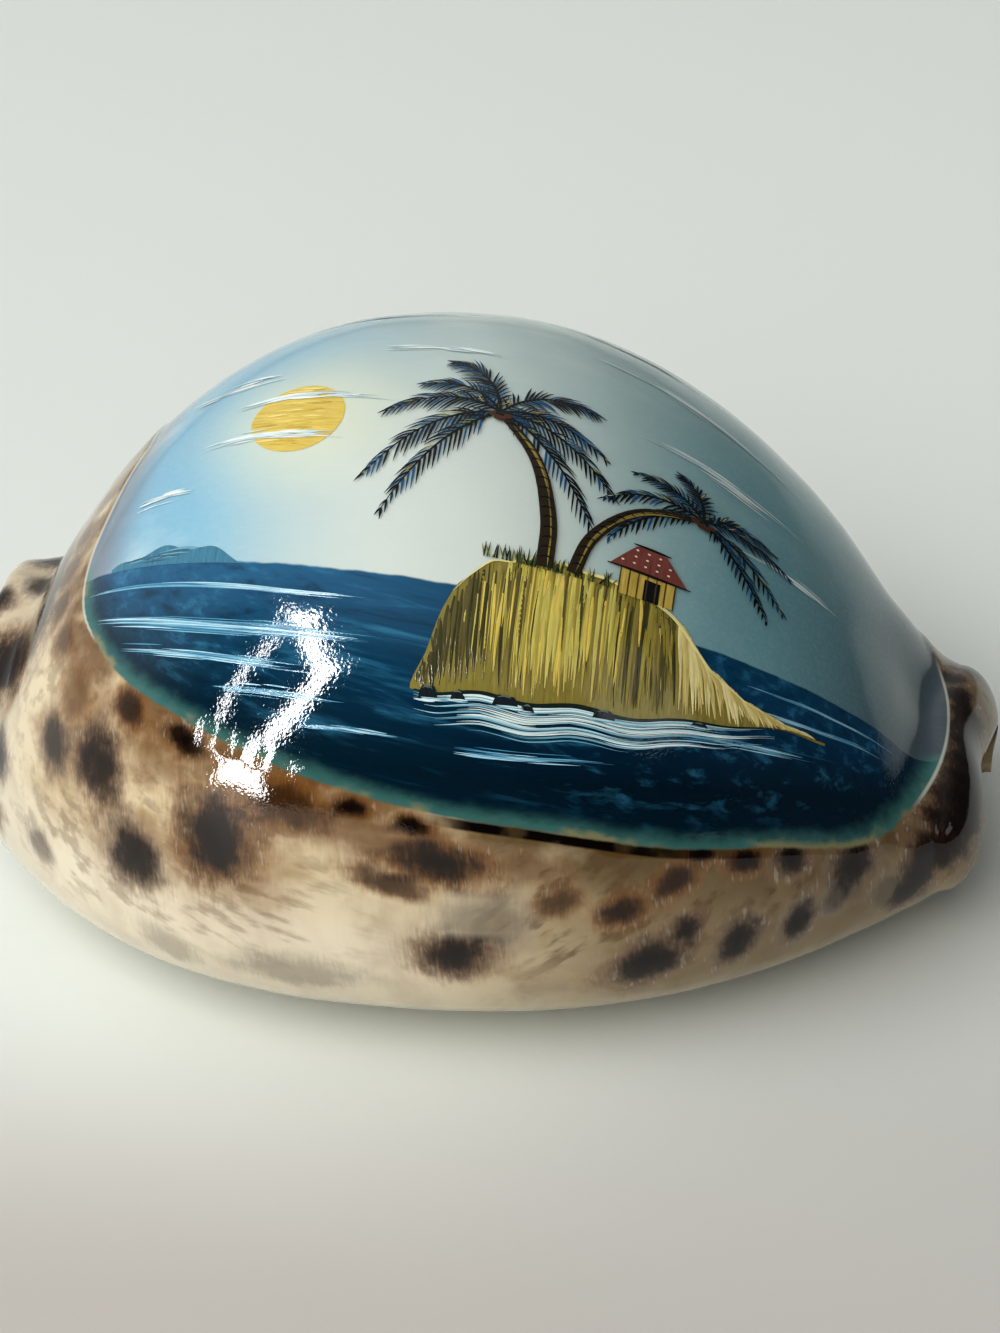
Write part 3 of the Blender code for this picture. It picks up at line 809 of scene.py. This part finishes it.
# The headland: a steep ochre bluff at the left, a flat top, and a beach running out to the right.
headland = {
    "top": [(3.6, -8.4), (4.6, -5.6), (5.6, -2.0), (6.8, 0.4), (8.4, 2.2), (10.6, 3.0), (13.0, 3.6),
            (16.0, 3.5), (19.5, 3.1), (22.0, 1.6), (24.0, -1.6), (26.5, -4.0), (29.0, -5.6), (32.5, -6.7)],
    "foot": -8.7, "footEnd": -6.9, "base": "#80753a",
    "shade": ["#4a4526", "#59522d", "#3c3a22"], "mid": ["#867a3a", "#75693a", "#94873f"],
    "sunlit": ["#b7ac5d", "#c8b157", "#a59848"], "sand": ["#c9b878", "#b9a766", "#d6c890"],
    "rim": "#d5c98c", "wet": "#1c2923", "foam": ["#a9c6cb", "#cfdcd8", "#6f9cab"], "rock": "#1d2629",
    "rockLight": "#5d6a66", "touches": 640,
    "rocks": [(5.0, 1.5, 1.1), (7.2, 1.1, 0.7), (10.6, 1.9, 0.9), (12.2, 1.0, 0.6), (17.5, 1.6, 0.8),
              (24.0, 1.2, 0.5)],
}


def buildHeadland():
    into = newPaint()
    outline = smoothPath(headland["top"], 0.3)
    u = np.linspace(outline[0, 0], outline[-1, 0], 90)
    top = np.interp(u, outline[:, 0], outline[:, 1]) + 0.12 * np.sin(u * 2.3) + 0.08 * np.sin(u * 5.1)
    foot = headland["foot"] + (headland["footEnd"] - headland["foot"]) * ease((u - 20) / 11)
    foot = np.minimum(foot + 0.25 * np.sin(u * 0.9), top)
    patch(into, u, foot, top, headland["base"], 2, 26)
    for _ in range(headland["touches"]):
        place = brushRng.uniform(u[0] + 0.3, u[-1] - 1)
        light = 0.85 * math.exp(-((place - 13.5) / 4.0) ** 2)
        if place > 22:
            tones = headland["sand"]
        elif brushRng.random() < light:
            tones = headland["sunlit"]
        else:
            tones = headland["shade"] if place < 8 or brushRng.random() < 0.35 else headland["mid"]
        high = np.interp(place, u, top) - brushRng.uniform(0.05, 3.0) * (place < 22)
        low = np.interp(place, u, foot) + 0.15
        length = brushRng.uniform(0.3, 0.95) * (high - low)
        lean = brushRng.normal(0.0, 0.15) + 0.9 * ease((place - 19) / 6)
        if length > 0.4:
            stroke(into, [(place, high), (place + lean * 0.6, high - length * 0.5),
                          (place + lean, high - length)], brushRng.uniform(0.1, 0.36),
                   tones[brushRng.integers(3)], 3 + brushRng.integers(2), (0.5, 0.15), 0.35)
    line = np.stack([u, top], axis=-1)
    stroke(into, line[8:-6:4] - [0, 0.1], 0.3, headland["rim"], 5, (0.1, 0.1), 0.5)
    shore = np.stack([u, foot], axis=-1)
    stroke(into, shore[1:-1:4] + [0, 0.05], 0.45, headland["wet"], 5, (0.2, 0.1), 0.3)
    for shift, count, spread in ((-0.35, 60, 0.3), (-1.1, 34, 0.5), (-2.2, 22, 0.6)):
        dryBrush(into, shore[1:-1:5] + [0, shift], spread, count, 0.12, headland["foam"], 6)
    for place, wide, tall in headland["rocks"]:
        t = np.linspace(-1, 1, 14)
        base = np.interp(place, u, foot) - 0.5
        crown = base + tall * np.sqrt(1 - t ** 2) * (1 + 0.2 * np.sin(5 * t + place))
        patch(into, place + t * wide / 2, 0 * t + base, crown, headland["rock"], 7, 6)
        stroke(into, [(place - 0.3 * wide, base + 0.8 * tall), (place, base + 0.98 * tall),
                      (place + 0.2 * wide, base + 0.8 * tall)], 0.16, headland["rockLight"], 8,
               (0.2, 0.2), 0.5)
        dryBrush(into, [(place - 0.7 * wide, base), (place, base - 0.05), (place + 0.7 * wide, base)],
                 0.16, 7, 0.12, headland["foam"], 8)
    finishPaint("pictureHeadland", into)


# A small hut with a brick-red roof, its thatch ties picked out in dots.
hut = {"left": 17.6, "right": 21.4, "foot": 2.5, "eaves": 5.4, "ridge": 8.0, "overhang": 0.8,
       "wall": "#b39a4d", "roof": "#74423a", "door": "#17191a", "post": "#4a3c20", "line": "#1c1a1b",
       "dot": "#d8d2c2"}


def buildHut():
    into = newPaint()
    foot, eaves, ridge = hut["foot"], hut["eaves"], hut["ridge"]
    u = np.linspace(hut["left"], hut["right"], 14)
    patch(into, u, 0 * u + foot, 0 * u + eaves, hut["wall"], 6, 10)
    middle = (hut["left"] + hut["right"]) / 2
    patch(into, middle + np.linspace(-0.2, 0.9, 6), [foot] * 6, [eaves - 0.8] * 6, hut["door"], 7, 6)
    for k in np.arange(hut["left"], hut["right"] + 0.1, 0.63):
        stroke(into, [(k, foot - 0.1), (k, eaves)], 0.1, hut["post"], 7, (0.8, 0.6), 0.5)
    u = np.linspace(hut["left"] - hut["overhang"], hut["right"] + hut["overhang"], 24)
    slope = np.minimum(1, np.minimum(u - u[0], u[-1] - u) / 1.7)
    patch(into, u, 0 * u + eaves - 0.3, eaves - 0.3 + (ridge - eaves) * slope, hut["roof"], 8, 10)
    stroke(into, [(u[0] - 0.2, eaves - 0.35), (u[-1] + 0.2, eaves - 0.3)], 0.26, hut["line"], 9,
           (0.4, 0.4), 0.5)
    stroke(into, [(u[0] + 1.4, ridge - 0.25), (u[-1] - 1.4, ridge - 0.2)], 0.26, hut["line"], 9,
           (0.4, 0.4), 0.5)
    for row in range(3):
        inset = 0.8 + 0.45 * row
        for k in np.arange(u[0] + inset + 0.4 * (row % 2), u[-1] - inset + 0.2, 0.8):
            stroke(into, [(k - 0.09, eaves + 0.4 + 0.7 * row), (k + 0.09, eaves + 0.4 + 0.7 * row)], 0.18,
                   hut["dot"], 9, (0.7, 0.7), 0.5)
    finishPaint("pictureHut", into)


# Two palms in navy black, with blue and ochre lights on the leaves. A frond is an arching rib with slim
# leaflets, and its angle is counted from the right.
palm = {
    "trees": [
        {"trunk": [(12.4, 2.9), (12.1, 7.5), (10.4, 12.8), (7.0, 17.0)], "thick": 0.95, "frond": 8.6,
         "angles": (-32, 2, 32, 62, 96, 128, 158, 190, 218)},
        {"trunk": [(14.4, 3.0), (15.4, 7.0), (18.2, 11.2), (22.4, 13.8)], "thick": 0.75, "frond": 6.8,
         "angles": (-38, -4, 28, 60, 94, 128, 162, 200)}],
    "leaflet": 0.25, "leafWidth": 0.19, "leafGap": 0.4, "droop": 0.3,
    "leaves": ["#0e171b", "#101f2b", "#0b1316", "#16374f", "#1d4e70"],
    "lights": ["#b8a552", "#8f9a56", "#4a7f9a"], "rib": "#0f171a", "trunkColour": "#2b2417",
    "bark": ["#8b7a3d", "#6a5d33"], "ring": "#0f1214", "nut": "#4a2f22",
    "grass": ["#1a2417", "#3d4a26", "#6f6f35"], "blades": 70,
}


def paintFrond(into, crown, angle, length):
    out = np.array([math.cos(angle), math.sin(angle)])
    t = np.linspace(0, 1, int(length / palm["leafGap"]) + 2)[:, None]
    fall = length * (palm["droop"] + 0.42 * abs(out[0]))
    lean = 0.3 * length * (1 if out[0] >= 0 else -1) * max(0, out[1])
    rib = crown + out * length * t + np.array([lean, -fall]) * t ** 2.2
    way = np.gradient(rib, axis=0)
    way /= np.linalg.norm(way, axis=1, keepdims=True)
    for i in range(2, len(rib)):
        share = i / (len(rib) - 1)
        for side in (-1, 1):
            if brushRng.random() < 0.08:
                continue
            off = side * np.array([-way[i, 1], way[i, 0]])
            arching = math.sin(math.pi * (0.14 + 0.76 * share)) ** 0.8
            reach = length * palm["leaflet"] * arching * brushRng.uniform(0.75, 1.15)
            aim = way[i] * (0.75 + 0.5 * share) + off * (0.95 - 0.45 * share) + np.array([0, -0.3])
            aim *= reach / np.linalg.norm(aim)
            tone = palm["leaves"][brushRng.integers(len(palm["leaves"]))]
            stroke(into, [rib[i], rib[i] + 0.5 * aim + [0, 0.04 * reach],
                          rib[i] + aim - [0, 0.14 * reach]],
                   palm["leafWidth"] * brushRng.uniform(0.7, 1.2), tone, 8, (0.7, 0.08), 0.3, step=0.5)
            if side * out[0] > 0 and brushRng.random() < 0.22:
                stroke(into, [rib[i] + 0.1 * aim, rib[i] + 0.65 * aim], 0.09,
                       palm["lights"][brushRng.integers(3)], 10, (0.6, 0.1), 0.3)
    stroke(into, rib, 0.24, palm["rib"], 9, (1.0, 0.25), 0.1)


def buildPalms():
    into = newPaint()
    for tree in palm["trees"]:
        thick = tree["thick"]
        crown = np.array(tree["trunk"][-1])
        for angle in tree["angles"]:
            paintFrond(into, crown, math.radians(angle + brushRng.normal(0, 4)),
                       tree["frond"] * brushRng.uniform(0.88, 1.08))
        stroke(into, tree["trunk"], thick * 1.3, palm["trunkColour"], 10, (1.0, 0.5), 0.05)
        dryBrush(into, np.array(tree["trunk"]) + [thick * 0.2, 0], thick * 0.25, 12, 0.14, palm["bark"],
                 11)
        for place in smoothPath(tree["trunk"], 0.5)[2:-1:2]:
            stroke(into, [place - [thick * 0.45, 0.1], place + [0, 0.1], place + [thick * 0.45, -0.05]],
                   0.12, palm["ring"], 12, (0.4, 0.4), 0.5)
        for k in range(4):
            nut = crown + [math.cos(k * 1.7) * 0.6, -0.4 - 0.35 * (k % 2)]
            stroke(into, [nut - [0.3, 0], nut + [0.3, 0]], 0.6, palm["nut"], 12, (0.6, 0.6), 0.5,
                   step=0.2)
    for _ in range(palm["blades"]):      # grass at the foot of the palms
        k = brushRng.uniform(8.0, 17.2)
        stroke(into, [(k, 2.7), (k + brushRng.normal(0, 0.3), 3.3 + brushRng.uniform(0.2, 1.0))], 0.14,
               palm["grass"][brushRng.integers(3)], 9, (0.8, 0.1), 0.2)
    finishPaint("picturePalms", into)


# Light on the swell, as long dry strokes: from u, to u, height, bend, hairlines, spread.
waves = {
    "tones": ["#4d87a3", "#6fa3b8", "#356f8e", "#a7c8d2"],
    "lines": [(-25.5, 3, -2.2, 0.12, 80, 0.22), (-24, 3.5, -5.4, -0.15, 90, 0.5),
              (-21, 0, -8.2, 0.12, 44, 0.35), (-12, 2, -10.4, 0.15, 30, 0.4), (27, 39, -2.6, 0.1, 44, 0.16),
              (28, 38.5, -5.2, -0.15, 40, 0.35), (22, 35, -9.6, 0.15, 36, 0.45),
              (-5, 5, -12.6, 0.15, 22, 0.3), (7, 20, -13.2, -0.1, 30, 0.4)],
}


def buildWaves():
    into = newPaint()
    for a, b, h, bend, count, spread in waves["lines"]:
        corners = [(a, h), (0.65 * a + 0.35 * b, h + bend), (0.3 * a + 0.7 * b, h - 0.3 * bend),
                   (b, h + 0.2 * bend)]
        dryBrush(into, corners, spread, count, 0.1, waves["tones"], 1)
    finishPaint("pictureWaves", into)


for build in (buildHills, buildSky, buildHeadland, buildHut, buildPalms, buildWaves):
    build()

# Matt paper-white laminate, made a little darker and warmer towards the viewer and the right by painted
# shade.
# # Its grain is about 0.35 mm, just enough to keep reflections dull.
table = {"size": 30000, "roughness": 0.65, "far": "#d2d6d0", "near": "#b4afa8", "right": "#b3b1ac",
         "grain": 0.35}


def buildTable():
    half = table["size"] / 2
    corners = np.array([(-half, -half, 0), (half, -half, 0), (half, half, 0), (-half, half, 0)], float)
    top = newMesh("paleTable", corners, np.array([[0, 1, 2, 3]]))
    material, node = emptyMaterial("mattLaminate")
    place = node("TexCoord", out=3)
    x, y = (node("Math", node("SeparateXYZ", place, out=axis), mm, operation="DIVIDE") for axis in (0, 1))
    # painted shade: darker and warmer towards the viewer, and towards the near right
    colour = node("Mix", node("MapRange", y, -22.0, -60.0, **smooth), table["far"], table["near"],
                  **inColour)
    rightNearShade = node("Math", node("MapRange", x, -10.0, 70.0, **smooth),
                     node("MapRange", y, 60.0, -60.0, **smooth), **times)
    colour = node("Mix", rightNearShade, colour, table["right"], **inColour)
    grain = node("TexNoise", place, 1 / (table["grain"] * mm), 3.0, 0.6)
    bump = node("Bump", 1.0, 1.0, named={"Height": node("Math", grain, 0.01 * mm, **times)})
    node("OutputMaterial", node("BsdfPrincipled", named={
        "Base Color": colour, "Roughness": table["roughness"], "Normal": bump}))
    top.data.materials.append(material)
    return top


buildTable()

# A pale even room, darker behind the viewer and to the right. Soft lamps light the scene, and the shapes of
# a tall window at the left and a small one far off show in the gloss only, so the room stays soft.
# Azimuth is counted from the front towards +X; then elevation, width, height, tilt, brightness in W/m2/sr.
room = {"bright": "#f2f4f3", "dim": "#50565a", "behindViewer": "#232526", "strength": 0.55}
lamps = {
    "distance": 1.2, "aim": (-2, -25, 30),
    "soft": {"frontLamp": (-25, 44, 85, 62, 0, 2.3), "leftLamp": (-100, 40, 60, 50, 0, 0.75)},
    "gloss": {"windowLeftEdge": (-45.5, 30, 1.9, 37, 0, 26), "windowRightTop": (-34, 45, 4, 16, 38, 30),
              "windowRightEdge": (-29, 28, 4.6, 26, -14, 30), "windowTop": (-44, 50, 7, 2, 0, 26),
              "windowFoot": (-37.5, 7, 10, 13, 0, 22), "farWindow": (69, 34, 26, 15, 0, 1.0)},
}


def buildLamp(name, azimuth, elevation, wide, tall, tilt, brightness, glossOnly):
    distance = lamps["distance"]
    lamp = bpy.data.lights.new(name, "AREA")
    lamp.shape = "RECTANGLE"
    lamp.size = 2 * distance * math.tan(math.radians(wide / 2))
    lamp.size_y = 2 * distance * math.tan(math.radians(tall / 2))
    lamp.energy = brightness * math.pi * lamp.size * lamp.size_y
    holder = bpy.data.objects.new(name, lamp)
    scene.collection.objects.link(holder)
    a, e = math.radians(azimuth), math.radians(elevation)
    way = Vector((math.sin(a) * math.cos(e), -math.cos(a) * math.cos(e), math.sin(e)))
    turned = way.to_track_quat("Z", "Y").to_matrix() @ Matrix.Rotation(math.radians(tilt), 3, "Z")
    holder.matrix_world = Matrix.Translation(Vector(lamps["aim"]) * mm + way * distance) @ turned.to_4x4()
    holder.visible_diffuse = not glossOnly
    holder.visible_glossy = glossOnly


def buildRoom():
    world = bpy.data.worlds.new("paleRoom")
    world.use_nodes = True
    world.node_tree.nodes.clear()
    node = partial(addNode, world.node_tree)
    way = node("TexCoord")
    sideways, away, up = (node("SeparateXYZ", way, out=axis) for axis in range(3))
    colour = node("Mix", node("MapRange", sideways, -0.5, 0.8, **smooth), room["bright"], room["dim"],
                  **inColour)
    behind = node("Math", node("MapRange", away, -0.05, -0.6, **smooth),
                  node("MapRange", up, 0.95, 0.6, **smooth), **times)
    colour = node("Mix", behind, colour, room["behindViewer"], **inColour)
    node("OutputWorld", node("Background", colour, room["strength"]))
    scene.world = world
    for kind, glossOnly in (("soft", False), ("gloss", True)):
        for name, values in lamps[kind].items():
            buildLamp(name, *values, glossOnly)
    scene.view_settings.view_transform = "Standard"
    scene.view_settings.look = "Medium High Contrast"      # the tone curve of a phone's camera
    print("room and lamps in place")


buildRoom()

camera = {"place": (58.36, -193.91, 146.82), "aim": (2.98, 0.20, 16.95), "roll": -6.39, "lens": 77.0}


def buildCamera():
    lens = bpy.data.cameras.new("camera")
    lens.lens = camera["lens"]
    lens.sensor_width = 36
    lens.clip_start = 0.01
    viewer = bpy.data.objects.new("camera", lens)
    scene.collection.objects.link(viewer)
    place, aim = Vector(camera["place"]) * mm, Vector(camera["aim"]) * mm
    level = (aim - place).to_track_quat("-Z", "Y").to_matrix()
    turned = level @ Matrix.Rotation(math.radians(camera["roll"]), 3, "Z")
    viewer.matrix_world = Matrix.Translation(place) @ turned.to_4x4()
    scene.camera = viewer
    print("camera in place")


buildCamera()
